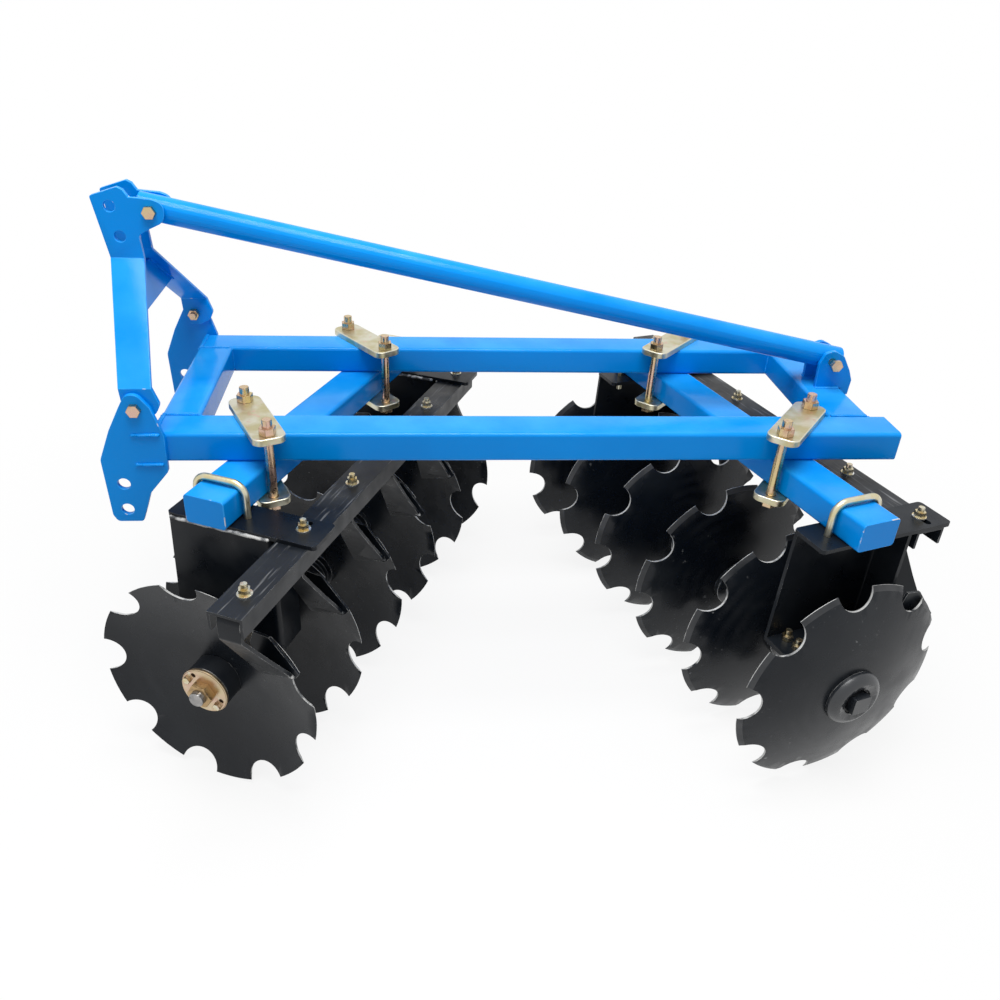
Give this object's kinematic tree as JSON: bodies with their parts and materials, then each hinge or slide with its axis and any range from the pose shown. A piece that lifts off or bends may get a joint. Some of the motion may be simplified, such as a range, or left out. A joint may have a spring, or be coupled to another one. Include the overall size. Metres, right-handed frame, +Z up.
{
  "type": "offset disc harrow",
  "caption": "Offset disc harrow for a tractor's three-point hitch, with two angled gangs of notched discs under a rectangular frame and a mast.",
  "frame": {"origin": "middle of the footprint, on the floor that the discs stand on", "axes": "+X towards the rear of the machine, away from the tractor; +Y towards the side that is further away in the picture; +Z up"},
  "size_m": [1.9952, 1.5012, 1.2795],
  "materials": {
    "blue_paint": "gloss",
    "black_paint": "semi-gloss",
    "disc_steel": "gloss",
    "black_casting": "semi-gloss",
    "yellow_zinc": "satin",
    "zinc_bolts": "satin",
    "bare_steel": "satin"
  },
  "bodies": {
    "frame": {"gang_beam_front": "blue_paint", "bearings_front": "black_casting", "leg_front_near": "black_paint", "leg_front_far": "black_paint", "scraper_beam_front": "black_paint", "scrapers_front": "black_paint", "gang_beam_rear": "blue_paint", "bearings_rear": "black_casting", "leg_rear_far": "black_paint", "leg_rear_near": "black_paint", "scraper_beam_rear": "black_paint", "scrapers_rear": "black_paint", "frame_beam_near": "blue_paint", "frame_beam_far": "blue_paint", "cross_beam_front": "blue_paint", "cross_beam_rear": "blue_paint", "bearing_bolts": "zinc_bolts", "u_bolts": "yellow_zinc", "scraper_bolts": "zinc_bolts", "clamp_plates": "yellow_zinc", "clamp_bolts": "zinc_bolts", "hitch_plate_near": "blue_paint", "hitch_plate_far": "blue_paint", "mast_strap_near": "blue_paint", "mast_strap_far": "blue_paint", "mast_brace": "blue_paint", "strut": "blue_paint", "strut_lugs": "blue_paint", "mast_bolts": "zinc_bolts"},
    "front_gang": {"discs_front": "disc_steel", "spools_front": "black_casting", "gang_bolt_front": "bare_steel", "end_hub_front": "black_paint", "lock_plate_front": "yellow_zinc", "gang_nut_front": "yellow_zinc", "dome_washer_front": "black_paint"},
    "rear_gang": {"discs_rear": "disc_steel", "spools_rear": "black_casting", "gang_bolt_rear": "bare_steel", "end_hub_rear": "black_paint", "lock_plate_rear": "yellow_zinc", "gang_nut_rear": "yellow_zinc", "dome_washer_rear": "black_paint"}
  },
  "joints": [
    {"name": "front_gang_spin", "type": "hinge", "parent": "frame", "child": "front_gang", "pos_m": [-0.51381, -0.00208, 0.28], "axis": [0.3987, 0.9171, 0], "continuous": true},
    {"name": "rear_gang_spin", "type": "hinge", "parent": "frame", "child": "rear_gang", "pos_m": [0.55719, -0.00208, 0.28], "axis": [-0.3007, 0.9537, 0], "continuous": true}
  ]
}
